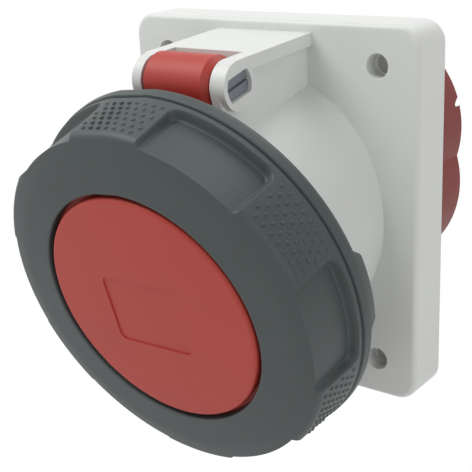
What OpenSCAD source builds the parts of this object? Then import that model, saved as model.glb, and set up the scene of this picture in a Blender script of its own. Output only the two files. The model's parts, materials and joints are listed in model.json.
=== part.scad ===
// Sloping panel socket for high current: a flanged housing, a pin insert with
// five power contacts and a pilot contact, and a hinged lid that is held shut by
// a bayonet ring. X runs across, +Y into the panel, +Z up. The origin is the
// centre of the four fixing holes on the back face of the flange.

/* [Flange] */
// Width of the mounting flange
flange_w = 100; // [94:1:116]
// Height of the mounting flange
flange_h = 109.5; // [104:0.5:126]
// Depth of the flange, from the panel to its front face
flange_t = 14.7; // [12:0.1:18]
// Radius of the flange's four corners
flange_corner_r = 6.5; // [4:0.5:10]
// Rounding round the front edge of the flange
flange_edge_r = 1.6; // [0.6:0.1:3]
// Thickness of the flange's front plate
plate_t = 4; // [3:0.1:6]
// Wall round the hollow back of the flange
flange_wall = 3.2; // [2.4:0.1:4.5]
// Corner radius of the flange's hollow
hollow_corner_r = 3.8; // [2:0.1:6]
// Fixing hole spacing across
hole_pitch_x = 74.3; // [72:0.1:80]
// Fixing hole spacing up and down
hole_pitch_z = 86.9; // [84:0.1:94]
// Radius of the fixing holes
hole_r = 2.7; // [2:0.1:3.1]
// Radius of the recess that takes a screw head
hole_head_r = 3.4; // [3.2:0.1:4.5]
// Depth of the recess that takes a screw head
hole_head_depth = 5; // [2:0.5:8]
// Wall round each fixing hole behind the front plate
boss_wall = 2.2; // [1.5:0.1:3]
// Width of the gasket groove in the back rim
gasket_w = 1.6; // [1:0.1:2]
// Depth of the gasket groove in the back rim
gasket_t = 1.5; // [1:0.1:2.5]

/* [Socket axis] */
// Downward slope of the socket's axis, in degrees
tilt = 14.8; // [12:0.1:17]
// Distance along the axis from the flange's front face to the front of the lid
reach = 58.9; // [56:0.1:66]
// Height of the axis where it leaves the flange's front face
axis_z = -1; // [-3:0.1:1]

/* [Collar] */
// Step from the collar out to the neck
neck_step = 0.8; // [0.4:0.1:1.6]
// Thickness of the collar's wall
collar_wall = 2.8; // [2.2:0.1:3.6]
// Bore of the collar, which the plug's shroud enters
collar_bore_r = 35.8; // [35:0.1:36.4]
// Width of the ledge between the collar's bore and the insert's bore
insert_ledge = 1.8; // [1.2:0.1:2.4]
// Inward reach of the stop between the two bores
stop_reach = 1.6; // [1:0.1:2.4]
// Thickness of the stop along the axis
stop_t = 2; // [1.5:0.1:3]
// Distance from the flange's front face to the back of the stop
stop_z = 10; // [7:0.5:13]
// Width of the keyway at the foot of the collar
key_w = 7; // [5:0.5:9]
// Depth of the keyway, measured from the collar's bore
key_depth = 2.2; // [1:0.1:2.6]
// Width of the bayonet lugs round the collar, in degrees
lug_angle = 8; // [6:0.5:10]
// Length of the bayonet lugs along the axis
lug_t = 3; // [2.4:0.1:4]
// Reach of the bayonet lugs out from the collar
lug_reach = 6; // [5:0.1:6.6]

/* [Hinge] */
// Distance of the hinge pin along the axis from the flange's front face
hinge_z = 22; // [21:0.1:23]
// Distance of the hinge's axis out from the neck
hinge_gap = 11.3; // [11:0.1:13]
// Radius of the hinge pin's shaft
pin_r = 2.6; // [2:0.1:3.2]
// Radius of the pin's flatted head
pin_head_r = 5.1; // [4.4:0.1:5.3]
// Distance across the two flats of the pin's head
pin_flats = 6.4; // [5.4:0.1:7.4]
// Depth of the pin's head below the face of its ear
pin_recess = 1.2; // [0.4:0.1:2]
// Width of the slit in the pin's head
pin_slit_w = 0.9; // [0.6:0.1:1.4]
// Outer radius of the two ears
ear_r = 6.7; // [6.2:0.1:7.2]
// Half of the clear width between the ears
ear_gap = 11.8; // [10.5:0.1:13]
// Thickness of the side walls that carry the ears
ear_wall = 2.7; // [2.2:0.1:3.5]
// Extra thickness of the ear that holds the pin's head
ear_boss = 2; // [1.2:0.1:3]
// Overhang of the roof past the side walls
roof_overhang = 1.8; // [0.8:0.1:3]
// Rise of the roof from the ears back to the flange
roof_rise = 2.5; // [1:0.1:4]
// Gap between the lid's barrel and the roof behind it
roof_gap = 0.6; // [0.5:0.1:3]
// Thickness of the roof
roof_t = 3.7; // [2.5:0.1:4.5]

/* [Lid] */
// Gap between the lid's disc and the ring's opening
disc_gap = 1.3; // [0.6:0.1:2]
// Rounding round the edge of the disc
disc_edge_r = 1.2; // [0.5:0.1:2]
// Distance of the disc's face in front of the lid's plate
disc_proud = 3.6; // [3.4:0.1:5]
// Gap between the lid's plate and the ring's bore
plate_gap = 4; // [3.4:0.1:4.4]
// Thickness of the lid's plate
lid_plate_t = 3; // [2.4:0.1:4]
// Thickness of the disc's front wall
disc_wall = 2.5; // [1.8:0.1:3]
// Radius of the hollow behind the disc
lid_hollow_r = 31.5; // [26:0.5:32]
// Width of the bare label field on the disc
label_w = 26; // [18:0.5:32]
// Height of the bare label field on the disc
label_h = 21; // [14:0.5:26]
// Depth of the bare label field
label_depth = 0.4; // [0.2:0.1:0.8]
// Corner radius of the label field
label_corner_r = 2; // [0.5:0.1:4]
// Thickness of the lid's seal
seal_t = 2; // [1.5:0.1:3]
// Width of the lid's seal
seal_w = 5.6; // [4.5:0.1:6]
// Radius of the lid's hinge barrel
strap_r = 7.6; // [7:0.1:8]
// Smallest gap between the strap's sides and the ears
strap_gap = 0.3; // [0.3:0.1:1]
// How far the lid sits to the left between the ears
strap_shift = 0.3; // [0:0.1:0.5]
// Bevel at both edges of the lid's strap
strap_bevel = 1.6; // [0.8:0.1:2.4]
// Height of the strap's underside above the neck
strap_lift = 2; // [1.4:0.1:2.4]
// Thickness of the strap where it runs inside the ring
strap_t = 5.9; // [4.5:0.1:6]
// Distance of the strap's heel behind the hinge's axis
strap_foot = 3; // [1:0.1:5]

// Radius of the boss in the middle of the lid
lid_boss_r = 9; // [7:0.5:12]
// Thickness of the ribs behind the lid's disc and of its boss's wall
lid_rib_t = 1.8; // [1.2:0.1:2.6]

/* [Ring] */
// Radius of the ring's front opening
ring_open_r = 36.1; // [35.8:0.1:37]
// Clearance between the lid's strap and the ring's bore
ring_clear = 0.7; // [0.5:0.1:1.2]
// Thickness of the skirt at the front of the grip pads
pad_wall = 4.4; // [4:0.1:5.4]
// How much the grip pads rise from front to back
pad_rise = 2.1; // [1:0.1:3]
// How far the rear rim stands out from the pads
rim_lip = 0.6; // [0.3:0.1:1.6]
// Width of the flat face round the front opening
face_band = 10.4; // [8:0.1:12]
// Fall of the flat face towards its outer edge
face_fall = 0.9; // [0:0.1:1.4]
// Depth of the bevel between the flat face and the pads
face_bevel = 2.1; // [1.4:0.1:3]
// Length of the ring along the axis
ring_len = 24; // [22.5:0.1:24.4]
// Length of the plain rear rim
rim_len = 4.3; // [3:0.1:5.5]
// Depth of the groove between the pads and the rear rim
groove = 0.6; // [0.3:0.1:0.8]
// Thickness of the ring's front wall
ring_front_t = 3.3; // [2.8:0.1:3.3]
// Number of grip pads
pad_count = 6; // [4:1:8]
// Angle that each pocket between the pads covers, in degrees
pocket_angle = 35; // [24:1:40]
// Depth of the pockets at the front
pocket_depth = 1.8; // [1:0.1:2.1]
// Slope of the pockets' floor towards the axis, in millimetres over their length
pocket_fall = 1; // [0:0.1:1.2]
// Length of the pockets
pocket_len = 17.7; // [14:0.1:18]
// Radius of the pockets' rear corners
pocket_corner_r = 1.4; // [1:0.1:5]
// Turn of the ring from open to locked, in degrees
ring_turn = 45; // [40:1:48]
// Angle that each bayonet ramp covers, in degrees
ramp_angle = 42; // [40:1:44]
// Thickness of the bayonet ramps
ramp_t = 2.8; // [2.4:0.1:3]
// Width of the two tabs on the ring's back edge, in degrees
tab_angle = 25; // [16:1:30]
// Length of the two tabs behind the ring's back edge
tab_len = 2.3; // [1:0.1:3]
// Angle that each hook behind the lid's plate covers, in degrees
hook_angle = 10; // [6:1:14]
// Reach of the hooks behind the lid's plate
hook_grip = 1.4; // [0.8:0.1:2]
// Thickness of the hooks at the ring's bore
hook_t = 4; // [3:0.1:5]
// Drop of a ramp at its leading end
ramp_lead = 1; // [0:0.1:1.4]

/* [Insert] */
// Gap between the insert and the collar, where the plug's wall goes
shroud_gap = 8.2; // [7.4:0.1:9]
// Distance of the insert's face behind the collar's front edge
insert_recess = 7; // [4:0.5:10]
// Radius of the circle through the power contacts
contact_circle_r = 18.6; // [18.2:0.1:19]
// Radius of the plug's phase and neutral pins
phase_pin_r = 4; // [3:0.1:4.2]
// Radius of the plug's earth pin
earth_pin_r = 5; // [4.2:0.1:5.2]
// Radius of the plug's pilot pin
pilot_pin_r = 3; // [2:0.1:3.2]
// Wall of the contact sleeves
sleeve_wall = 1.5; // [1:0.1:1.6]
// Depth of the contact sleeves' bore
sleeve_depth = 32; // [24:1:34]
// Distance of the sleeves' mouths behind the insert's face
sleeve_recess = 5; // [3:0.5:8]
// Width of the slits in the contact sleeves
slit_w = 0.8; // [0.4:0.1:1.1]
// Width of the insert's rubber seal
insert_seal_w = 2.4; // [1.6:0.1:3.2]
// Thickness of the insert's seal
insert_seal_t = 2.2; // [1.4:0.1:2.8]
// Distance of the spring rings behind the sleeves' mouths
spring_back = 6; // [4:0.5:10]
// Width of the spring rings
spring_w = 2; // [1.4:0.1:3]
// Thickness of the spring rings
spring_t = 0.6; // [0.4:0.1:0.8]

/* [Terminals] */
// Depth of the terminal block behind the panel
block_depth = 35.3; // [33:0.1:42]
// Radius of each of the block's four lobes
lobe_r = 30.8; // [30:0.1:31.6]
// Sideways offset of the lobes from the middle
lobe_x = 8.1; // [7.4:0.1:8.8]
// Up and down offset of the lobes from the block's middle
lobe_z = 8.85; // [7.6:0.05:9.4]
// Height of the block's middle
block_z = 7.35; // [6.4:0.05:8.2]
// Distance of the clamps behind the flange's front face
clamp_z = 18; // [16:0.5:20]
// Length of the terminal clamps
clamp_len = 18; // [15:0.5:18]
// Width of the terminal clamps
clamp_w = 11.5; // [11:0.1:12]
// Radius of the wire bore in the clamps
wire_r = 3.8; // [2.6:0.1:4.2]
// Distance of the contacts' shoulders in front of the clamps
shoulder_rise = 8; // [6:0.5:10]
// Length of the contacts' shanks inside the clamps
shank_grip = 5; // [4:0.5:7]
// Distance of the terminal screws behind the clamps' fronts
screw_back = 11.2; // [9:0.1:13]
// Room for a screw's head between a clamp and its chamber's outer wall
chamber_room = 2.4; // [1.6:0.1:3.5]
// Thickness of the terminal screws' heads
screw_head_t = 3; // [2:0.1:4]
// Thickness of the block screws' heads
block_head_t = 2.2; // [1.6:0.1:3]
// Distance of the block screws' seats in front of the clamps' fronts
block_seat_rise = 4; // [2:0.5:6]
// Radius of the terminal screws
terminal_screw_r = 2.5; // [1.8:0.1:2.8]
// Radius of the screws that hold the block
block_screw_r = 1.5; // [1.2:0.1:1.6]
// Distance of the block's screws out from the insert's bore
block_screw_out = 2.4; // [2.2:0.1:2.8]

/* [Hidden] */
$fn = 64;

over = 1;                 // how far a cut runs past the face it opens
far = 200;                // larger than any piece
fit_gap = 0.3;            // clearance between pieces that move past each other
shaft_gap = 0.06;         // radial clearance round a turning shaft
push_gap = 0.05;          // radial clearance of pieces that are pushed together

grey = [0.80, 0.81, 0.80];
red = [0.66, 0.25, 0.21];
dark_grey = [0.30, 0.33, 0.33];
rubber = [0.10, 0.10, 0.10];
brass = [0.78, 0.66, 0.38];
steel = [0.66, 0.67, 0.68];
pin_grey = [0.47, 0.48, 0.51];

collar_r = collar_bore_r + collar_wall;
neck_r = collar_r + neck_step;
insert_bore_r = collar_bore_r - insert_ledge;
insert_r = collar_bore_r - shroud_gap;
lug_r = collar_r + lug_reach;
block_screw_circle_r = insert_bore_r + block_screw_out;
strap_in_r = neck_r + strap_lift;
strap_out_r = strap_in_r + strap_t;
ring_bore_r = strap_out_r + ring_clear;
plate_r = ring_bore_r - plate_gap;
disc_r = ring_open_r - disc_gap;
hinge_rise = neck_r + hinge_gap;
plate_back_y = plate_t - flange_t;
collar_front = reach - disc_proud - lid_plate_t - seal_t - fit_gap;
shroud_z = stop_z + stop_t;
insert_face = collar_front - insert_recess;
sleeve_mouth = insert_face - sleeve_recess;
ring_rear = reach - ring_len;
ramp_rear = ring_rear + 0.5;
lug_rear = ramp_rear + ramp_t + 0.4;
pin_y = -flange_t - hinge_z * cos(tilt) - hinge_rise * sin(tilt);
pin_z = axis_z - hinge_z * sin(tilt) + hinge_rise * cos(tilt);
roof_z = pin_z + ear_r + roof_rise;
wall_x = ear_gap + ear_wall;
boss_x = wall_x + ear_boss;
strap_half = ear_gap - strap_gap - strap_shift;
// Contact angles, clockwise from the top as seen from the front
contact_angles = [252, 324, 36, 108, 180];
earth_index = 4;
block_screw_angles = [72, 144, 216, 288];
lug_angles = [90, 270];
face_r = ring_open_r + face_band;
pad_front_r = ring_bore_r + pad_wall;
pad_rear_r = pad_front_r + pad_rise;
rim_r = pad_rear_r + rim_lip;
pad_turn = -1.9;          // the pads are turned a little against the lugs
tab_angles = [86, 266];
hook_angles = [30, 80, 130, 180, 230, 280];  // clear of the strap over the ring's turn
ramp_start = lug_angle / 2 + 5;  // from a lug's middle to the end of its ramp, unlocked
label_at = [-1.5, -1.6];  // middle of the label field, from the disc's centre
label_turn = 2;
clamp_front = -clamp_z;
shoulder_z = clamp_front + shoulder_rise;
shank_end = clamp_front - shank_grip;
screw_z = clamp_front - screw_back;
chamber_gap = 0.5;
chamber_in = contact_circle_r - clamp_w / 2 - chamber_gap;
chamber_out = contact_circle_r + clamp_w / 2 + chamber_room;
screw_head_r = terminal_screw_r + 0.8;
block_head_r = block_screw_r + 1.4;
block_seat = clamp_front + block_seat_rise;
block_screw_end = stop_z - stop_t - over;
insert_seal_front = stop_z - insert_seal_w;
seal_seat_r = insert_bore_r - insert_seal_t;
spring_z = sleeve_mouth - spring_back;

// Puts its children on the socket's axis: local +Z runs out to the front and
// down by the slope, local +Y up, and local z = 0 is the flange's front face
module on_axis() {
    translate([0, -flange_t, axis_z]) rotate([90 + tilt, 0, 0]) children();
}

// Turns its children clockwise from the top, as seen from the front
module at_angle(a) {
    rotate([0, 0, 90 - a]) children();
}

// A sector of a revolved outline, centred on the angle a
module sector(a, width) {
    rotate([0, 0, 90 - a - width / 2]) rotate_extrude(angle = width, $fn = 96) children();
}

module tube(r_out, r_in, z0, z1) {
    translate([0, 0, z0]) difference() {
        cylinder(r = r_out, h = z1 - z0);
        translate([0, 0, -over]) cylinder(r = r_in, h = z1 - z0 + 2 * over);
    }
}

module rounded_rect(w, h, r) {
    square([w - 2 * r, h], center = true);
    square([w, h - 2 * r], center = true);
    for (x = [-1, 1], y = [-1, 1])
        translate([x * (w / 2 - r), y * (h / 2 - r)]) circle(r = r);
}

// Extrudes an outline drawn in X and Z from y0 to y1
module along_y(y0, y1) {
    translate([0, y1, 0]) rotate([90, 0, 0]) linear_extrude(height = y1 - y0) children();
}

// Extrudes an outline drawn in Y and Z from x0 to x1
module along_x(x0, x1) {
    translate([x0, 0, 0]) rotate([90, 0, 90]) linear_extrude(height = x1 - x0) children();
}

// A cylinder along X round the point [y, z]
module x_rod(r, x0, x1, at) {
    translate([x0, at[0], at[1]]) rotate([0, 90, 0]) cylinder(r = r, h = x1 - x0);
}

module at_holes() {
    for (x = [-1, 1], z = [-1, 1])
        translate([x * hole_pitch_x / 2, 0, z * hole_pitch_z / 2]) children();
}

// Rounded slab: the front edge follows a quarter circle all the way round
module flange_slab() {
    r = flange_corner_r;
    e = flange_edge_r;
    along_y(e - flange_t, 0) rounded_rect(flange_w, flange_h, r);
    along_y(-flange_t, 0) rounded_rect(flange_w - 2 * e, flange_h - 2 * e, r - e);
    translate([0, e - flange_t, 0]) {
        for (s = [-1, 1]) {
            translate([s * (flange_w / 2 - e), 0, r - flange_h / 2])
                cylinder(r = e, h = flange_h - 2 * r, $fn = 32);
            translate([r - flange_w / 2, 0, s * (flange_h / 2 - e)]) rotate([0, 90, 0])
                cylinder(r = e, h = flange_w - 2 * r, $fn = 32);
        }
        for (x = [-1, 1], z = [-1, 1])
            translate([x * (flange_w / 2 - r), 0, z * (flange_h / 2 - r)]) rotate([90, 0, 0])
                rotate_extrude($fn = 64) translate([r - e, 0]) intersection() {
                    circle(r = e, $fn = 32);
                    translate([0, -e]) square([e, 2 * e]);
                }
    }
}

module flange() {
    color(grey) difference() {
        union() {
            difference() {
                flange_slab();
                along_y(plate_back_y, over) rounded_rect(flange_w - 2 * flange_wall,
                    flange_h - 2 * flange_wall, hollow_corner_r);
            }
            at_holes() rotate([90, 0, 0])
                cylinder(r = hole_head_r + boss_wall, h = flange_t - over);
            // Ribs that tie each screw boss to the flange's two nearest walls
            for (x = [-1, 1], z = [-1, 1]) {
                translate([x * (hole_pitch_x / 2 + flange_w / 2 - flange_wall) / 2,
                        -flange_t / 2, z * hole_pitch_z / 2])
                    cube([(flange_w - hole_pitch_x) / 2, flange_t - 2 * over, boss_wall],
                        center = true);
                translate([x * hole_pitch_x / 2, -flange_t / 2,
                        z * (hole_pitch_z / 2 + flange_h / 2 - flange_wall) / 2])
                    cube([boss_wall, flange_t - 2 * over, (flange_h - hole_pitch_z) / 2],
                        center = true);
            }
        }
        at_holes() rotate([90, 0, 0]) {
            translate([0, 0, -over]) cylinder(r = hole_r, h = flange_t + 2 * over);
            translate([0, 0, flange_t - hole_head_depth])
                cylinder(r = hole_head_r, h = hole_head_depth + over);
        }
        on_axis() translate([0, 0, -far / 2]) cylinder(r = insert_bore_r, h = far);
        on_axis() block_screw_holes(block_screw_r);
        along_y(-gasket_t, over) gasket_outline();
    }
}

module gasket_outline() {
    inset = (flange_wall - gasket_w) / 2;
    difference() {
        rounded_rect(flange_w - 2 * inset, flange_h - 2 * inset, flange_corner_r - inset);
        rounded_rect(flange_w - 2 * (inset + gasket_w), flange_h - 2 * (inset + gasket_w),
            flange_corner_r - inset - gasket_w);
    }
}

module panel_gasket() {
    color(rubber) along_y(-gasket_t, 0) gasket_outline();
}

module block_screw_holes(r) {
    for (a = block_screw_angles) at_angle(a)
        translate([block_screw_circle_r, 0, -far / 2]) cylinder(r = r, h = far / 2 + stop_z - 2);
}

// Outline of the roof in Y and Z: it falls from the flange to the top of the ears
module roof_outline() {
    polygon([[-flange_t, roof_z], [pin_y, pin_z + ear_r], [pin_y, pin_z + ear_r - roof_t],
        [-flange_t, roof_z - roof_t]]);
}

// Outline of the side walls in Y and Z, from the ears down into the neck
module side_wall_outline() {
    foot_r = collar_bore_r + 1;
    front = [pin_y - ear_r * cos(tilt), pin_z - ear_r * sin(tilt)];
    drop = hinge_rise - foot_r;
    foot = [front[0] + drop * sin(tilt), front[1] - drop * cos(tilt)];
    polygon([[-flange_t, roof_z - roof_t / 2], [pin_y, pin_z + ear_r - roof_t / 2], front, foot,
        [-flange_t, axis_z + foot_r]]);
}

// The flatted hole in the ear and the pin's head share this outline, with the
// flats along the socket's axis
module flatted_rod(r, flats, x0, x1) {
    translate([x0, pin_y, pin_z]) rotate([tilt, 0, 0]) rotate([0, 90, 0]) intersection() {
        cylinder(r = r, h = x1 - x0);
        translate([-flats / 2, -2 * r, 0]) cube([flats, 4 * r, x1 - x0]);
    }
}

module hinge_bracket() {
    roof_half = wall_x + roof_overhang;
    difference() {
        along_x(-roof_half, roof_half) roof_outline();
        translate([-ear_gap, pin_y - far, 0]) cube([2 * ear_gap, far + strap_r + roof_gap, far]);
        translate([-roof_half - over, pin_y - far, 0])
            cube([2 * (roof_half + over), far, far]);
    }
    for (s = [-1, 1]) along_x(s < 0 ? -wall_x : ear_gap, s < 0 ? -ear_gap : wall_x)
        side_wall_outline();
    x_rod(ear_r, ear_gap, boss_x, [pin_y, pin_z]);
    x_rod(ear_r, -wall_x - 0.5, -ear_gap, [pin_y, pin_z]);
}

module collar() {
    color(grey) difference() {
        union() {
            on_axis() {
                translate([0, 0, -far / 2]) cylinder(r = neck_r, h = far / 2 + ring_rear);
                cylinder(r = collar_r, h = collar_front - 1);
                translate([0, 0, collar_front - 1])
                    cylinder(r1 = collar_r, r2 = collar_r - 0.6, h = 1);
                // Bulge round the keyway at the foot of the collar
                translate([-key_w / 2 - 2, -collar_bore_r - key_depth - 1.8, ring_rear - 2])
                    cube([key_w + 4, key_depth + 4, collar_front - ring_rear + 2]);
                for (a = lug_angles) sector(a, lug_angle) translate([collar_r - over, lug_rear])
                    square([lug_r - collar_r + over, lug_t]);
            }
            hinge_bracket();
        }
        translate([-far / 2, -flange_t, -far / 2]) cube(far);
        on_axis() {
            translate([0, 0, -far / 2]) cylinder(r = insert_bore_r, h = far / 2 + stop_z);
            translate([0, 0, stop_z - over])
                cylinder(r = insert_bore_r - stop_reach, h = stop_t + 2 * over);
            translate([0, 0, shroud_z])
                cylinder(r = collar_bore_r, h = collar_front - shroud_z + over);
            translate([-key_w / 2, -collar_bore_r - key_depth, shroud_z])
                cube([key_w, collar_bore_r, collar_front - shroud_z + over]);
            block_screw_holes(block_screw_r);
        }
        flatted_rod(pin_head_r + push_gap, pin_flats + 2 * push_gap, ear_gap - over,
            boss_x + over);
        x_rod(pin_r + push_gap, -wall_x + 0.7, -ear_gap + over, [pin_y, pin_z]);
    }
}

module hinge_pin() {
    head_end = boss_x - pin_recess;
    color(pin_grey) difference() {
        union() {
            x_rod(pin_r, -wall_x + 0.7, ear_gap + over, [pin_y, pin_z]);
            flatted_rod(pin_head_r, pin_flats, ear_gap, head_end);
        }
        translate([head_end - 0.8, pin_y, pin_z]) rotate([tilt, 0, 0])
            translate([0, -2 * pin_head_r, -pin_slit_w / 2])
                cube([2, 3.6 * pin_head_r - over, pin_slit_w]);
    }
}

function pin_radius(i) = i == earth_index ? earth_pin_r : phase_pin_r;
function sleeve_r(r) = r + push_gap + sleeve_wall;
function shank_r(r) = r * 0.9;

// Turned contact: a slit sleeve, a collar that seats on the block and a shank
module contact(pin) {
    out = sleeve_r(pin);
    difference() {
        union() {
            translate([0, 0, shoulder_z]) cylinder(r = out, h = sleeve_mouth - shoulder_z);
            translate([0, 0, shank_end])
                cylinder(r = shank_r(pin), h = shoulder_z + over - shank_end);
        }
        translate([0, 0, sleeve_mouth - sleeve_depth])
            cylinder(r = pin + push_gap, h = sleeve_depth + over);
        for (turn = [0, 90]) rotate([0, 0, turn])
            translate([-out - over, -slit_w / 2, sleeve_mouth - sleeve_depth * 0.75])
                cube([2 * (out + over), slit_w, sleeve_depth]);
        translate([0, 0, spring_z]) spring_ring(out, over);
    }
}

// Ring that keeps a sleeve's fingers pressed together
module spring_ring(out, extra) {
    difference() {
        cylinder(r = out + extra, h = spring_w);
        translate([0, 0, -over]) cylinder(r = out - spring_t, h = spring_w + 2 * over);
    }
}

module at_contact(i) {
    on_axis() at_angle(contact_angles[i]) translate([contact_circle_r, 0, 0]) children();
}

module sleeve(i) {
    color(brass) at_contact(i) contact(pin_radius(i));
}

module pilot_contact() {
    color(brass) on_axis() contact(pilot_pin_r);
}

module sleeve_springs() {
    color(steel) for (i = [0:4]) at_contact(i)
        translate([0, 0, spring_z]) spring_ring(sleeve_r(pin_radius(i)), 0);
}

module contact_bore(pin) {
    translate([0, 0, -far / 2])
        cylinder(r = sleeve_r(pin) + push_gap, h = far / 2 + sleeve_mouth);
    translate([0, 0, sleeve_mouth - over]) cylinder(r = pin + 2 * shaft_gap + push_gap, h = far);
}

module contact_bores() {
    for (i = [0:4]) at_angle(contact_angles[i]) translate([contact_circle_r, 0, 0])
        contact_bore(pin_radius(i));
    contact_bore(pilot_pin_r);
}

module contact_carrier() {
    edge = 1;
    color(red) on_axis() difference() {
        union() {
            translate([0, 0, stop_z]) cylinder(r = insert_r, h = insert_face - edge - stop_z);
            translate([0, 0, insert_face - edge])
                cylinder(r1 = insert_r, r2 = insert_r - edge, h = edge);
        }
        contact_bores();
        // Slot in line with the collar's keyway
        translate([-key_w / 2, -insert_r - over, shroud_z])
            cube([key_w, key_depth + over, insert_face]);
    }
}

module carrier_base() {
    color(red) difference() {
        on_axis() translate([0, 0, -far / 4])
            cylinder(r = insert_bore_r - fit_gap, h = far / 4 + stop_z);
        translate([-far / 2, plate_back_y, -far / 2]) cube(far);
        on_axis() {
            contact_bores();
            insert_seal_ring(over);
        }
    }
}

module insert_seal_ring(extra) {
    tube(insert_bore_r + extra, seal_seat_r, insert_seal_front - insert_seal_w,
        insert_seal_front);
}

module insert_seal() {
    color(rubber) on_axis() insert_seal_ring(0);
}

module lobes() {
    for (x = [-1, 1], z = [-1, 1])
        translate([x * lobe_x, block_z + z * lobe_z]) circle(r = lobe_r, $fn = 96);
}

module terminal_block() {
    color(red) difference() {
        along_y(plate_back_y, block_depth) lobes();
        on_axis() {
            for (i = [0:4]) at_angle(contact_angles[i]) {
                pin = pin_radius(i);
                translate([contact_circle_r, 0, shoulder_z])
                    cylinder(r = sleeve_r(pin) + push_gap, h = far / 4);
                translate([contact_circle_r, 0, -clamp_z - over])
                    cylinder(r = shank_r(pin) + push_gap, h = far / 4);
                translate([chamber_in, -clamp_w / 2 - chamber_gap, -clamp_z - far])
                    cube([chamber_out - chamber_in, clamp_w + 2 * chamber_gap, far]);
                translate([contact_circle_r, 0, screw_z]) rotate([0, 90, 0])
                    cylinder(r = screw_head_r + chamber_gap, h = far);
            }
            translate([0, 0, shoulder_z])
                cylinder(r = sleeve_r(pilot_pin_r) + push_gap, h = far / 4);
            translate([0, 0, -far / 2])
                cylinder(r = shank_r(pilot_pin_r) + chamber_gap, h = far);
            block_screw_holes(block_screw_r + fit_gap);
            for (a = block_screw_angles) at_angle(a)
                translate([block_screw_circle_r, 0, block_seat - far])
                    cylinder(r = block_head_r + chamber_gap, h = far);
        }
    }
}

module terminal_clamp(i) {
    pin = pin_radius(i);
    color(steel) at_contact(i) difference() {
        translate([-clamp_w / 2, -clamp_w / 2, -clamp_z - clamp_len])
            cube([clamp_w, clamp_w, clamp_len]);
        translate([0, 0, shank_end - push_gap])
            cylinder(r = shank_r(pin) + push_gap, h = far);
        translate([0, 0, -clamp_z - clamp_len - over]) cylinder(r = wire_r, h = clamp_len);
        translate([0, 0, screw_z]) rotate([0, 90, 0])
            cylinder(r = terminal_screw_r + push_gap, h = clamp_w);
    }
}

module terminal_screws() {
    top = clamp_w / 2 + 1.2;
    tip = wire_r - 1;
    socket = 2;
    color(steel) for (i = [0:4]) at_contact(i) translate([0, 0, screw_z])
        rotate([0, 90, 0]) difference() {
            union() {
                translate([0, 0, tip]) cylinder(r = terminal_screw_r, h = top - tip + over);
                translate([0, 0, top]) cylinder(r = screw_head_r, h = screw_head_t);
            }
            translate([0, 0, top + screw_head_t - socket])
                cylinder(r = terminal_screw_r * 0.7, h = socket + over, $fn = 6);
        }
}

module block_screws() {
    slot_w = 0.8;
    head_end = block_seat - block_head_t;
    color(steel) on_axis() for (a = block_screw_angles) at_angle(a)
        translate([block_screw_circle_r, 0, 0]) difference() {
            union() {
                translate([0, 0, block_seat - over])
                    cylinder(r = block_screw_r - push_gap, h = block_screw_end - block_seat + over);
                translate([0, 0, head_end]) cylinder(r = block_head_r, h = block_head_t);
            }
            translate([-block_head_r - over, -slot_w / 2, head_end - over])
                cube([2 * (block_head_r + over), slot_w, 2 * over]);
        }
}

// Side view of the strap's web below its barrel, in local Z and Y
module web_outline() {
    polygon([[hinge_z + strap_r, hinge_rise], [hinge_z + strap_r, strap_in_r],
        [hinge_z - strap_foot, strap_in_r], [hinge_z - strap_r, hinge_rise]]);
}

// Extrudes an outline drawn in local Z and Y from x0 to x1
module across(x0, x1) {
    translate([x0, 0, 0]) rotate([0, -90, 0]) mirror([0, 0, 1])
        linear_extrude(height = x1 - x0) children();
}

// Half section of the barrel, with its ends bevelled
module barrel_section() {
    h = strap_half;
    b = strap_bevel;
    polygon([[0, -h], [strap_r - b, -h], [strap_r, b - h], [strap_r, h - b], [strap_r - b, h],
        [0, h]]);
}

module strap() {
    b = strap_bevel;
    h = strap_half;
    front = hinge_z + strap_r;
    translate([-strap_shift, 0, 0]) {
        translate([0, hinge_rise, hinge_z]) rotate([0, 90, 0])
            rotate_extrude($fn = 128) barrel_section();
        intersection() {
            across(-h, h) web_outline();
            // Plan of the web: the front edges are bevelled as the barrel's ends are
            translate([0, strap_in_r - over, 0]) rotate([-90, 0, 0]) mirror([0, 1, 0])
                linear_extrude(height = far) polygon([[-h, hinge_z - strap_r - over],
                    [h, hinge_z - strap_r - over], [h, front - b], [h - b, front],
                    [b - h, front], [-h, front - b]]);
        }
        // Run of the strap between the collar and the ring
        intersection() {
            tube(strap_out_r, strap_in_r, hinge_z, reach - disc_proud);
            translate([-h, 0, 0]) cube([2 * h, far, far]);
        }
    }
}

module lid_cap() {
    e = disc_edge_r;
    plate_front = reach - disc_proud;
    plate_rear = plate_front - lid_plate_t;
    color(red) on_axis() difference() {
        union() {
            rotate_extrude($fn = 128) {
                translate([0, plate_rear]) square([plate_r, lid_plate_t]);
                translate([0, plate_rear]) square([disc_r, reach - plate_rear - e]);
                translate([0, plate_rear]) square([disc_r - e, reach - plate_rear]);
                translate([disc_r - e, reach - e]) circle(r = e, $fn = 24);
            }
            strap();
        }
        difference() {
            translate([0, 0, plate_rear - over])
                cylinder(r = lid_hollow_r, h = reach - disc_wall - plate_rear + over);
            for (turn = [0, 60, 120]) rotate([0, 0, turn])
                translate([-far / 2, -lid_rib_t / 2, plate_rear - over])
                    cube([far, lid_rib_t, far]);
            cylinder(r = lid_boss_r, h = far);
        }
        translate([0, 0, plate_rear - over])
            cylinder(r = lid_boss_r - lid_rib_t, h = reach - disc_wall - plate_rear + over);
        translate([label_at[0], label_at[1], reach - label_depth])
            linear_extrude(height = over) rotate([0, 0, label_turn])
                rounded_rect(label_w, label_h, label_corner_r);
        translate([0, hinge_rise, hinge_z]) rotate([0, 90, 0])
            translate([0, 0, -ear_gap]) cylinder(r = pin_r + shaft_gap, h = 2 * ear_gap);
    }
}

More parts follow.
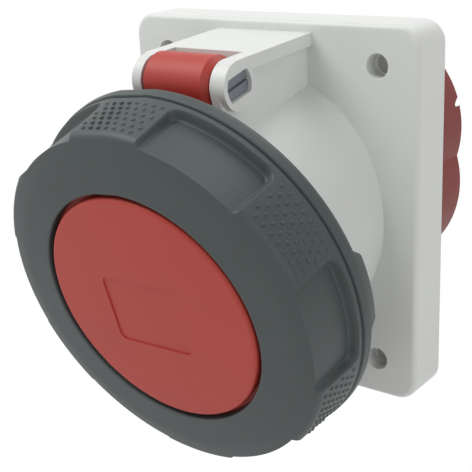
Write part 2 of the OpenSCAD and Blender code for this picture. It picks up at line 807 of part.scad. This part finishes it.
module lid_seal() {
    front = reach - disc_proud - lid_plate_t;
    mid_r = (collar_bore_r + collar_r) / 2;
    color(rubber) on_axis() tube(mid_r + seal_w / 2, mid_r - seal_w / 2, front - seal_t, front);
}

// Outer half-section of the ring at the height of its pads
module ring_section() {
    soft = 0.5;           // small chamfers of the ring's edges
    rim_front = ring_rear + rim_len;
    difference() {
        polygon([[ring_open_r, reach], [face_r, reach - face_fall],
            [pad_front_r - 2 * soft, reach - face_bevel],
            [pad_front_r - soft / 2, reach - face_bevel - soft],
            [pad_front_r, reach - face_bevel - 2 * soft], [pad_rear_r, rim_front],
            [rim_r - soft / 2, rim_front], [rim_r, ring_rear + 3 * soft],
            [rim_r - soft, ring_rear + soft], [rim_r - 2 * soft, ring_rear],
            [ring_bore_r + soft, ring_rear], [ring_bore_r, ring_rear + soft],
            [ring_bore_r, reach - ring_front_t], [ring_open_r, reach - ring_front_t]]);
        translate([pad_rear_r - groove, rim_front]) square([2 * groove, groove]);
    }
}

// Extrudes an outline, drawn across the radius and along the axis, outwards at the angle a
module radial_prism(a) {
    at_angle(a) rotate([90, 0, 90]) linear_extrude(height = rim_r + over) children();
}

// Outline of a pocket: open to the front, with its rear corners rounded
module pocket_outline() {
    half = (pad_front_r - pocket_depth) * sin(pocket_angle / 2);
    rear = reach - pocket_len;
    r = pocket_corner_r;
    translate([-half, rear + r]) square([2 * half, pocket_len + over]);
    translate([r - half, rear]) square([2 * (half - r), pocket_len]);
    for (s = [-1, 1]) translate([s * (half - r), rear + r]) circle(r = r, $fn = 32);
}

function pocket_floor(z) = pad_front_r - pocket_depth + pocket_fall * (reach - z) / pocket_len;

// The pockets are cut down to a floor that follows a cone round the axis
module pockets() {
    z0 = reach - pocket_len - over;
    z1 = reach + 2 * over;
    difference() {
        for (i = [0:pad_count - 1])
            radial_prism((i + 0.5) * 360 / pad_count + pad_turn) pocket_outline();
        translate([0, 0, z0])
            cylinder(r1 = pocket_floor(z0), r2 = pocket_floor(z1), h = z1 - z0, $fn = 96);
    }
}

// Tab behind the ring's back edge, with sloping ends
module tab(a) {
    half = rim_r * sin(tab_angle / 2);
    foot = 2;             // how far the tab runs up into the rim
    rear = ring_rear - tab_len;
    intersection() {
        rotate_extrude($fn = 128) polygon([[ring_bore_r + 1, rear], [rim_r - 1.2, rear],
            [rim_r - 0.3, rear + 0.9], [rim_r - 0.3, ring_rear + foot],
            [ring_bore_r + 1, ring_rear + foot]]);
        radial_prism(a) polygon([[-half, ring_rear + foot], [half, ring_rear + foot],
            [half - tab_len, rear], [tab_len - half, rear]]);
    }
}

// Ramp that slides behind a lug of the collar; its leading end is thinner
module ramp(a) {
    half = ring_bore_r * sin(ramp_angle / 2);
    front = ramp_rear + ramp_t;
    intersection() {
        tube(ring_bore_r + over, lug_r - 2 * fit_gap, ramp_rear, front);
        radial_prism(a) polygon([[-half, ramp_rear - over], [half, ramp_rear - over],
            [half, front + over], [-half / 2, front + over], [-half, front - ramp_lead]]);
    }
}

module locking_ring() {
    hook_front = reach - disc_proud - lid_plate_t - fit_gap;
    color(dark_grey) on_axis() {
        difference() {
            union() {
                rotate_extrude($fn = 128) ring_section();
                for (a = tab_angles) tab(a);
            }
            pockets();
        }
        for (a = lug_angles) ramp(a - ramp_start - ramp_angle / 2);
        // Hooks that hold the ring on the lid's plate
        for (a = hook_angles) sector(a, hook_angle)
            polygon([[plate_r - hook_grip, hook_front - 0.4 * hook_t],
                [ring_bore_r + over, hook_front - hook_t],
                [ring_bore_r + over, hook_front], [plate_r - hook_grip, hook_front]]);
    }
}

flange();
collar();
panel_gasket();
contact_carrier();
carrier_base();
insert_seal();
terminal_block();
sleeve(0);  // sleeve_l1
sleeve(1);  // sleeve_l2
sleeve(2);  // sleeve_l3
sleeve(3);  // sleeve_n
sleeve(4);  // sleeve_pe
pilot_contact();
sleeve_springs();
terminal_clamp(0);  // clamp_l1
terminal_clamp(1);  // clamp_l2
terminal_clamp(2);  // clamp_l3
terminal_clamp(3);  // clamp_n
terminal_clamp(4);  // clamp_pe
terminal_screws();
block_screws();
hinge_pin();
lid_cap();
lid_seal();
locking_ring();
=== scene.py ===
import bpy, bmesh, json, math
import numpy as np
from mathutils import Matrix, Vector


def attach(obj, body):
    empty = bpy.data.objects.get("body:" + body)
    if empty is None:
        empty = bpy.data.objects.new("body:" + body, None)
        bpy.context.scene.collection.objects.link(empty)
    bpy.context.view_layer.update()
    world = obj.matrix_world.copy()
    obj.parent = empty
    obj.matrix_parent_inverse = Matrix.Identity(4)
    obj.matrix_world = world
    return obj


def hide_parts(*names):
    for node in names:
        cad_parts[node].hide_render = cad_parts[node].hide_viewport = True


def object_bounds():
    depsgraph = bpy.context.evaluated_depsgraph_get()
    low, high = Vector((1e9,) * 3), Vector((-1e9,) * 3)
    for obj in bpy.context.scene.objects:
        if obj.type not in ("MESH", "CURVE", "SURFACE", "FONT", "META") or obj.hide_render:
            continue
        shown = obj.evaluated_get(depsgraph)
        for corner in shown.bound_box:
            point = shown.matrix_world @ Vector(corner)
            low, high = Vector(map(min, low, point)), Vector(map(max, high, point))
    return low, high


# Industrial panel socket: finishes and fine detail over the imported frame

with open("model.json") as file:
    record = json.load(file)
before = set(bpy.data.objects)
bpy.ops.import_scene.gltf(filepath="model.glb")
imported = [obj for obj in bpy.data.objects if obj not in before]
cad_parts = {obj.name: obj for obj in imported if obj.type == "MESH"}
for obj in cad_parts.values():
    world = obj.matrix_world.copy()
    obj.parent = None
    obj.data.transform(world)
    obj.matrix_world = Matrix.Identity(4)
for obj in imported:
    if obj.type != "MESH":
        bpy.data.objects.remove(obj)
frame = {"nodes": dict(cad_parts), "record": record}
nodes = frame["nodes"]
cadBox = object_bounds()
mm = 0.001

socketAxis = {"tilt": 14.8, "faceY": -14.7, "faceZ": -1.0}  # where the sloping axis leaves the flange


def alongSocket(x, y, z):  # local millimetres on the socket's axis to the shared frame in metres
    x, y, z = np.broadcast_arrays(*(np.asarray(v, float) for v in (x, y, z)))
    t = math.radians(socketAxis["tilt"])
    return np.stack([x, socketAxis["faceY"] - z * math.cos(t) - y * math.sin(t),
                     socketAxis["faceZ"] - z * math.sin(t) + y * math.cos(t)], -1) * mm


# Plastics, rubber and metal

surface = {"cloudScale": 45, "cloudDetail": 3, "grainDetail": 2, "grainRoughness": 0.6, "rampLow": 0.3,
           "rampHigh": 0.7, "shinier": 0.05, "duller": 0.06, "leastRough": 0.02, "bumpDepth": 0.03}

finishTable = {
    "housing_grey": {"name": "housingGrey", "rgb": (214, 216, 213), "rough": 0.42, "drift": 0.012,
                     "grain": 1400, "bump": 0.10},
    "lid_red": {"name": "lidRed", "rgb": (172, 58, 48), "rough": 0.48, "drift": 0.03, "grain": 1500,
                "bump": 0.14, "spec": 0.38},
    "insert_red": {"name": "insertRed", "rgb": (122, 36, 29), "rough": 0.45, "grain": 1300, "spec": 0.3},
    "ring_grey": {"name": "ringGrey", "rgb": (66, 73, 73), "rough": 0.48, "drift": 0.03, "grain": 1300,
                  "bump": 0.2, "spec": 0.34},
    "pin_plastic": {"name": "pinGrey", "rgb": (118, 121, 130), "rough": 0.38, "grain": 1200},
    "rubber_black": {"name": "sealRubber", "rgb": (38, 38, 38), "rough": 0.7, "drift": 0.06, "grain": 1800,
                     "bump": 0.3},
    "contact_brass": {"name": "contactBrass", "rgb": (206, 178, 112), "rough": 0.26, "drift": 0.05,
                      "grain": 600, "metal": 1.0, "streak": (1, 1, 9)},
    "clamp_steel": {"name": "clampSteel", "rgb": (176, 178, 180), "rough": 0.34, "drift": 0.06,
                    "grain": 500, "metal": 1.0, "streak": (7, 1, 1)}}


def linear(rgb):  # display colour to the shader's linear colour
    return [((c / 255 + 0.055) / 1.055) ** 2.4 if c > 10 else c / 255 / 12.92 for c in rgb]


def finish(name, rgb, rough, grain, drift=0.04, bump=0.12, metal=0.0, spec=0.5, streak=(1, 1, 1)):
    m = bpy.data.materials.new(name)
    m.use_nodes = True
    nt = m.node_tree
    b = nt.nodes["Principled BSDF"]
    b.inputs["Metallic"].default_value = metal
    b.inputs["Specular IOR Level"].default_value = spec
    coords = nt.nodes.new("ShaderNodeTexCoord")
    stretch = nt.nodes.new("ShaderNodeMapping")
    stretch.inputs["Scale"].default_value = streak
    nt.links.new(coords.outputs["Object"], stretch.inputs["Vector"])

    def noise(scale, detail, roughness=0.5):
        n = nt.nodes.new("ShaderNodeTexNoise")
        n.inputs["Scale"].default_value = scale
        n.inputs["Detail"].default_value = detail
        n.inputs["Roughness"].default_value = roughness
        nt.links.new(stretch.outputs["Vector"], n.inputs["Vector"])
        return n

    cloud = noise(surface["cloudScale"], surface["cloudDetail"])
    fine = noise(grain, surface["grainDetail"], surface["grainRoughness"])
    ramp = nt.nodes.new("ShaderNodeValToRGB")  # slow drift of the colour across a moulding
    ends = (surface["rampLow"], surface["rampHigh"])
    for stop, at, shift in zip(ramp.color_ramp.elements, ends, (-drift, drift)):
        stop.position = at
        stop.color = [min(1, c * (1 + shift)) for c in linear(rgb)] + [1]
    nt.links.new(cloud.outputs["Fac"], ramp.inputs["Fac"])
    nt.links.new(ramp.outputs["Color"], b.inputs["Base Color"])
    spread = nt.nodes.new("ShaderNodeMapRange")
    spread.inputs["To Min"].default_value = max(surface["leastRough"], rough - surface["shinier"])
    spread.inputs["To Max"].default_value = rough + surface["duller"]
    nt.links.new(fine.outputs["Fac"], spread.inputs["Value"])
    nt.links.new(spread.outputs["Result"], b.inputs["Roughness"])
    grit = nt.nodes.new("ShaderNodeBump")
    grit.inputs["Strength"].default_value = bump
    grit.inputs["Distance"].default_value = surface["bumpDepth"] * mm
    nt.links.new(fine.outputs["Fac"], grit.inputs["Height"])
    nt.links.new(grit.outputs["Normal"], b.inputs["Normal"])
    return m


finishes = {slot: finish(**row) for slot, row in finishTable.items()}
slotOf = {s["node"]: s["material_slot"] for s in frame["record"]["subparts"]}
for name, node in nodes.items():
    for s in node.material_slots:
        s.material = finishes[slotOf[name]]
    if not node.material_slots:
        node.data.materials.append(finishes[slotOf[name]])
print("finishes made:", len(finishes))


def piece(name, verts, faces, body, slotName):
    me = bpy.data.meshes.new(name)
    me.from_pydata([tuple(v) for v in verts], [], [tuple(f) for f in faces])
    me.validate()
    ob = bpy.data.objects.new(name, me)
    bpy.context.scene.collection.objects.link(ob)
    me.materials.append(finishes[slotName])
    me.polygons.foreach_set("use_smooth", [True] * len(me.polygons))
    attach(ob, body)
    return ob


# Locking ring: pads, pockets, rear rim, two tabs, ramps and hooks, in millimetres and degrees

ring = {"face": 58.9, "rear": 34.9, "openR": 36.1, "boreR": 48.0, "faceDepth": 3.3, "pads": 6,
        "padTurn": -1.9, "pocketAngle": 35, "pocketFrontR": 50.6, "pocketFall": 1.0, "pocketLength": 17.7,
        "pocketCorner": 3.0, "wallWidth": 1.0, "tabs": (86, 266), "tabAngle": 25, "tabLength": 2.3,
        "tabSlope": 2.4, "tabRise": 1.6, "tabBlend": 1.2, "tabInnerR": 48.6, "frontRounding": 0.5}
faceLine = [(46.5, 0.9, 1.2), (51.5, 2.1, 0.8), (52.45, 3.2, 0.9)]  # radius, depth behind the face, rounding
rearLine = [(54.45, 5.1, 0.25), (54.3, 4.85, 0.1), (53.95, 4.75, 0.15), (53.95, 4.45, 0.15),
            (54.3, 4.35, 0.1), (54.85, 4.2, 0.4), (55.1, 1.5, 0.8), (54.6, 0.4, 0.6), (53.7, 0, 0.5),
            (48.7, 0, 0.5), (48.0, 0.7, 0.4)]  # radius, distance from the rear, rounding
ringMesh = {"row": 0.9, "column": 1.0, "closest": 0.12, "wallSpan": 2.4, "wallStep": 0.22,
            "cornerSpan": 5.2, "cornerStep": 0.4, "tabBefore": 3, "tabAfter": 1, "tabStep": 0.4,
            "fineRows": 4, "fineFrom": 4.9, "fineTo": 9.5, "fineR": 50, "skinR": 49.5, "sharp": 50,
            "cornerShare": 0.45, "cornerPoints": 5, "lastColumn": 359.9}
ramps = {  # section: radius, distance from the rear
    "mids": (60, 240), "half": 21, "steps": 40, "lead": 1.0, "leadShare": 0.25,
    "section": [(48.4, 0.5), (48.4, 3.3), (44.4, 3.3), (44.0, 2.9), (44.0, 0.9), (44.4, 0.5)]}
hooks = {  # section: radius, depth behind the face
    "mids": (30, 80, 130, 180, 230, 280), "half": 5, "steps": 12,
    "section": [(48.4, 11.2), (48.4, 6.9), (42.6, 6.9), (42.6, 8.3)]}


def softStep(v):
    v = np.clip(v, 0, 1)
    return v * v * (3 - 2 * v)


def rounded(points, radius):  # a profile with its corners rounded; radius is one a corner
    share = ringMesh["cornerShare"]
    out = [np.array(points[0], float)]
    for i in range(1, len(points) - 1):
        p, a, b = (np.array(points[k], float) for k in (i, i - 1, i + 1))
        r = min(radius[i], share * np.linalg.norm(a - p), share * np.linalg.norm(b - p))
        u, v = (a - p) / np.linalg.norm(a - p), (b - p) / np.linalg.norm(b - p)
        if r <= 0:
            out.append(p)
            continue
        for t in np.linspace(0, 1, ringMesh["cornerPoints"]):
            out.append(p + u * r * (1 - t) ** 2 + v * r * t ** 2)
    out.append(np.array(points[-1], float))
    return np.array(out)


def divided(points, longest):  # the same profile with no step longer than this
    out = [points[0]]
    for a, b in zip(points[:-1], points[1:]):
        n = max(1, int(math.ceil(np.linalg.norm(b - a) / longest)))
        out += [a + (b - a) * k / n for k in range(1, n + 1)]
    return np.array(out)


def ringAngles():  # columns round the ring, close together at the pockets' walls and the tabs' ends
    g = ringMesh
    step = 360 / ring["pads"]
    marks = [0, 360]
    for i in range(ring["pads"]):
        mid = (i + 0.5) * step + ring["padTurn"]
        for s in (-1, 1):
            edge = mid + s * ring["pocketAngle"] / 2
            marks += list(np.arange(edge - g["wallSpan"], edge + g["wallSpan"], g["wallStep"]))
            marks += list(np.arange(edge - s * g["wallSpan"], edge - s * g["cornerSpan"],
                                    -s * g["cornerStep"]))
    for t in ring["tabs"]:
        for s in (-1, 1):
            end = t + s * ring["tabAngle"] / 2
            marks += list(np.arange(end - g["tabBefore"], end + g["tabAfter"], g["tabStep"]))
    marks = np.sort(np.mod(marks, 360))
    out = [marks[0]]
    for m in marks[1:]:
        gap = m - out[-1]
        if gap > g["closest"]:
            n = int(math.ceil(gap / g["column"]))
            out += [out[-1] + gap * k / n for k in range(1, n + 1)]
    return np.radians(np.array(out[:-1] if out[-1] > g["lastColumn"] else out))


def pocketDepth(a, z):  # 0 on the pads, 1 on a pocket's floor
    c = ring["pocketCorner"]
    step = 2 * math.pi / ring["pads"]
    off = np.mod(a - math.radians(ring["padTurn"]), step) - step / 2
    u = ring["pocketFrontR"] * np.sin(off)
    half = ring["pocketFrontR"] * math.sin(math.radians(ring["pocketAngle"] / 2))
    back = ring["face"] - ring["pocketLength"]
    dx, dz = np.abs(u) - (half - c), (back + c) - z
    out = np.hypot(np.maximum(dx, 0), np.maximum(dz, 0)) + np.minimum(np.maximum(dx, dz), 0) - c
    return softStep(-out / ring["wallWidth"])


def blockOfRing(profile, mid, half, steps, lead=0.0):  # a closed piece of a ring, its section swept
    n = len(profile)
    rows = []
    for k, a in enumerate(np.radians(np.linspace(mid - half, mid + half, steps))):
        drop = lead * max(0, 1 - k / (ramps["leadShare"] * (steps - 1)))
        r, z = profile[:, 0], profile[:, 1] - drop * (profile[:, 1] > profile[:, 1].mean())
        rows.append(alongSocket(r * math.sin(a), r * math.cos(a), z))
    faces = [(k * n + i, k * n + (i + 1) % n, (k + 1) * n + (i + 1) % n, (k + 1) * n + i)
             for k in range(steps - 1) for i in range(n)]
    faces += [tuple(range(n))[::-1], tuple((steps - 1) * n + i for i in range(n))]
    return np.concatenate(rows), faces


def ringLine():  # the ring's section, with finer rows where the pockets end
    f, b, g = ring["face"], ring["rear"], ringMesh
    inner = f - ring["faceDepth"]
    outline = [(ring["openR"], inner), (ring["openR"], f)] + [(r, f - d) for r, d, c in faceLine]
    outline += [(r, b + d) for r, d, c in rearLine] + [(ring["boreR"], inner)]
    line = rounded(outline, [0, ring["frontRounding"]] + [c for r, d, c in faceLine + rearLine] + [0])
    line = divided(line, g["row"])
    fine = []
    for p, q in zip(line[:-1], line[1:]):
        near = q[0] > g["fineR"] and b + g["fineFrom"] < max(p[1], q[1]) < b + g["fineTo"]
        n = g["fineRows"] if near else 1
        fine += [p + (q - p) * k / n for k in range(n)]
    return np.array(fine + [line[-1]])


def makeRing():
    f, b = ring["face"], ring["rear"]
    line = ringLine()
    a = ringAngles()[:, None]
    lineR = line[None, :, 0]
    z = line[None, :, 1] + 0 * a
    floor = ring["pocketFrontR"] + ring["pocketFall"] * (f - z) / ring["pocketLength"]
    skin = (lineR > ringMesh["skinR"]) & (z > b + ringMesh["fineFrom"])
    r = np.where(skin, lineR - pocketDepth(a, z) * np.maximum(lineR - floor, 0), lineR)
    for t in ring["tabs"]:
        off = np.abs(np.mod(np.degrees(a) - t + 180, 360) - 180)
        lift = np.clip((ring["tabAngle"] / 2 - off) / ring["tabSlope"], 0, 1)
        weight = np.clip((b + ring["tabRise"] - z) / ring["tabBlend"], 0, 1) * (lineR > ring["tabInnerR"])
        z = z - ring["tabLength"] * lift * weight
    n, m = r.shape
    allVerts = [alongSocket(r * np.sin(a), r * np.cos(a), z).reshape(-1, 3)]
    allFaces = [(i * m + j, ((i + 1) % n) * m + j, ((i + 1) % n) * m + (j + 1) % m, i * m + (j + 1) % m)
                for i in range(n) for j in range(m)]

    def add(v, faces):
        base = sum(len(x) for x in allVerts)
        allVerts.append(v)
        allFaces.extend(tuple(base + i for i in q) for q in faces)

    section = np.array([(r, b + d) for r, d in ramps["section"]])
    for mid in ramps["mids"]:
        add(*blockOfRing(section, mid, ramps["half"], ramps["steps"], ramps["lead"]))
    section = np.array([(r, f - d) for r, d in hooks["section"]])
    for mid in hooks["mids"]:
        add(*blockOfRing(section, mid, hooks["half"], hooks["steps"]))
    ob = piece("bayonet_ring", np.concatenate(allVerts), allFaces, "ring", "ring_grey")
    ob.data.set_sharp_from_angle(angle=math.radians(ringMesh["sharp"]))
    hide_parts("locking_ring")


pips = {"radius": 0.62, "height": 0.42, "sink": 0.12, "aroundPitch": 2.75, "alongPitch": 2.6,
        "stagger": 0.866, "rows": 6, "firstRow": 53.9, "edge": 1.5, "rings": 3, "sides": 10, "sharp": 60}
padCone = {"frontR": 52.45, "frontZ": 55.8, "length": 16.6, "rise": 2.0, "slope": 0.12}


def pip(base, r, a, z):  # one low dome on the pads' cone, as vertices and faces counted from base
    rings, sides = pips["rings"], pips["sides"]
    centre = alongSocket(r * math.sin(a), r * math.cos(a), z)
    out = alongSocket((r + 1) * math.sin(a), (r + 1) * math.cos(a), z + padCone["slope"]) - centre
    out /= np.linalg.norm(out)
    side = np.cross(out, alongSocket(0, 0, 1) - alongSocket(0, 0, 0))
    side /= np.linalg.norm(side)
    along = np.cross(out, side)
    verts, faces = [], []
    for i in range(rings):
        t = i / rings * math.pi / 2
        for j in range(sides):
            w = 2 * math.pi * j / sides
            flat = (side * math.cos(w) + along * math.sin(w)) * pips["radius"] * math.cos(t)
            rise = pips["height"] * math.sin(t) - pips["sink"] * (i == 0)
            verts.append(centre + (flat + out * rise) * mm)
    verts.append(centre + out * pips["height"] * mm)
    for i in range(rings - 1):
        low, high = base + i * sides, base + (i + 1) * sides
        faces += [(low + j, low + (j + 1) % sides, high + (j + 1) % sides, high + j) for j in range(sides)]
    last, top = base + (rings - 1) * sides, base + rings * sides
    faces += [(last + j, last + (j + 1) % sides, top) for j in range(sides)]
    faces.append(tuple(base + j for j in range(sides))[::-1])
    return verts, faces


def makePips():  # small round bumps on the six grip pads, staggered
    verts, faces = [], []
    step = 360 / ring["pads"]
    half = (step - ring["pocketAngle"]) / 2
    for k in range(ring["pads"]):
        mid = k * step + ring["padTurn"]
        for row in range(pips["rows"]):
            z = pips["firstRow"] - row * pips["alongPitch"] * pips["stagger"]
            r = padCone["frontR"] + (padCone["frontZ"] - z) / padCone["length"] * padCone["rise"]
            pitch = math.degrees(pips["aroundPitch"] / r)
            room = half - math.degrees(pips["edge"] / r)
            count = int(room / pitch) + 1
            for c in range(-count, count + 1):
                off = (c + 0.5 * (row % 2)) * pitch
                if abs(off) <= room:
                    v, f = pip(len(verts), r, math.radians(mid + off), z)
                    verts += v
                    faces += f
    ob = piece("grip_pips", verts, faces, "ring", "ring_grey")
    ob.data.set_sharp_from_angle(angle=math.radians(pips["sharp"]))


makeRing()
makePips()
print("locking ring made")


# Housing, lid, pin and terminal block: the solids with moulded edges

softening = {"merge": 2e-6, "flat": 1.2, "edge": 30, "segments": 3, "sharp": 60,  # metres, degrees
             "evenness": 90}
softPieces = {  # new piece: node, body, slot, width of the rounded edge in millimetres
    "housing_flange": ("flange", "housing", "housing_grey", 0.45),
    "housing_collar": ("collar", "housing", "housing_grey", 0.45),
    "sprung_lid": ("lid_cap", "lid", "lid_red", 0.35),
    "pin_body": ("hinge_pin", "housing", "pin_plastic", 0.3),
    "rear_block": ("terminal_block", "housing", "insert_red", 0.4)}


def softened(name, node, body, slotName, width):  # a solid with its edges rounded
    g = softening
    bm = bmesh.new()
    bm.from_mesh(nodes[node].data)
    bm.transform(nodes[node].matrix_world)
    bmesh.ops.remove_doubles(bm, verts=bm.verts, dist=g["merge"])
    bmesh.ops.dissolve_limit(bm, angle_limit=math.radians(g["flat"]), verts=bm.verts, edges=bm.edges)
    me = bpy.data.meshes.new(name)
    bm.to_mesh(me)
    bm.free()
    ob = bpy.data.objects.new(name, me)
    bpy.context.scene.collection.objects.link(ob)
    me.materials.clear()
    me.materials.append(finishes[slotName])
    me.polygons.foreach_set("material_index", [0] * len(me.polygons))
    cut = ob.modifiers.new("edges", "BEVEL")
    cut.limit_method, cut.angle_limit = "ANGLE", math.radians(g["edge"])
    cut.width, cut.segments, cut.use_clamp_overlap = width * mm, g["segments"], True
    me.polygons.foreach_set("use_smooth", [True] * len(me.polygons))
    me.set_sharp_from_angle(angle=math.radians(g["sharp"]))
    even = ob.modifiers.new("shade", "WEIGHTED_NORMAL")  # flat faces stay flat beside their rounded edges
    even.weight, even.keep_sharp = g["evenness"], True
    solid = bpy.data.meshes.new_from_object(ob.evaluated_get(bpy.context.evaluated_depsgraph_get()))
    ob.modifiers.clear()
    ob.data = solid
    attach(ob, body)
    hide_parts(node)


for name, row in softPieces.items():
    softened(name, *row)
print("housing, lid and block made")


# Floor, light and camera, in metres, watts and degrees

studio = {"floorGap": 0.02, "floorSize": 6, "floorTone": 0.9, "floorRough": 0.9, "sky": 0.36,
          "middle": (0, -0.04, 0)}
lamps = {  # name: place, size in metres, power
    "key": ((-0.35, -0.35, 0.65), 0.5, 4.4),
    "fill": ((0.75, -0.35, 0.15), 0.6, 1.5),
    "rim": ((0.1, 0.35, 0.6), 0.4, 1.6)}
view = {"azimuth": 38.002, "elevation": 18.654, "roll": -2.643, "lens": 78.23, "sensor": 36,
        "place": (0.17571, -0.25719, 0.09029)}


def seenWhite(nt, lit, whiteKind, output):  # camera, glossy and transmitted rays see plain white
    path = nt.nodes.new("ShaderNodeLightPath")
    seen = path.outputs["Is Camera Ray"]
    for other in ("Is Glossy Ray", "Is Transmission Ray"):
        most = nt.nodes.new("ShaderNodeMath")
        most.operation = "MAXIMUM"
        nt.links.new(seen, most.inputs[0])
        nt.links.new(path.outputs[other], most.inputs[1])
        seen = most.outputs[0]
    white = nt.nodes.new(whiteKind)
    white.inputs["Color"].default_value = (1, 1, 1, 1)
    white.inputs["Strength"].default_value = 1
    mix = nt.nodes.new("ShaderNodeMixShader")
    nt.links.new(seen, mix.inputs["Fac"])
    nt.links.new(lit.outputs[0], mix.inputs[1])
    nt.links.new(white.outputs[0], mix.inputs[2])
    nt.links.new(mix.outputs[0], nt.nodes[output].inputs["Surface"])


def makeStudio():
    world = bpy.data.worlds.new("studio")
    bpy.context.scene.world = world
    world.use_nodes = True
    back = world.node_tree.nodes["Background"]
    back.inputs["Color"].default_value = (1, 1, 1, 1)
    back.inputs["Strength"].default_value = studio["sky"]
    seenWhite(world.node_tree, back, "ShaderNodeBackground", "World Output")

    low = cadBox[0][2] - studio["floorGap"]
    bpy.ops.mesh.primitive_plane_add(size=studio["floorSize"], location=(0, 0, low))
    floor = bpy.context.object
    floor.name = "floor"
    m = bpy.data.materials.new("floorWhite")
    m.use_nodes = True
    b = m.node_tree.nodes["Principled BSDF"]
    b.inputs["Base Color"].default_value = (studio["floorTone"],) * 3 + (1,)
    b.inputs["Roughness"].default_value = studio["floorRough"]
    seenWhite(m.node_tree, b, "ShaderNodeEmission", "Material Output")
    floor.data.materials.append(m)

    for name, (place, size, power) in lamps.items():
        light = bpy.data.lights.new(name, "AREA")
        light.shape = "RECTANGLE"
        light.size, light.size_y, light.energy = size, size, power
        ob = bpy.data.objects.new(name, light)
        bpy.context.scene.collection.objects.link(ob)
        ob.location = place
        aim = Vector(studio["middle"]) - Vector(place)
        ob.rotation_euler = aim.to_track_quat("-Z", "Y").to_euler()


def makeCamera():
    az, el, roll = (math.radians(view[k]) for k in ("azimuth", "elevation", "roll"))
    back = Vector((math.sin(az) * math.cos(el), -math.cos(az) * math.cos(el), math.sin(el)))
    side = Vector((math.cos(az), math.sin(az), 0))
    top = back.cross(side)
    right = side * math.cos(roll) + top * math.sin(roll)
    up = -side * math.sin(roll) + top * math.cos(roll)
    turn = Matrix((right, up, back)).transposed().to_4x4()
    cam = bpy.data.cameras.new("camera")
    cam.lens, cam.sensor_width = view["lens"], view["sensor"]
    ob = bpy.data.objects.new("camera", cam)
    bpy.context.scene.collection.objects.link(ob)
    ob.matrix_world = Matrix.Translation(view["place"]) @ turn
    bpy.context.scene.camera = ob


makeStudio()
makeCamera()
bpy.context.scene.view_settings.view_transform = "Standard"
print("studio and camera set")
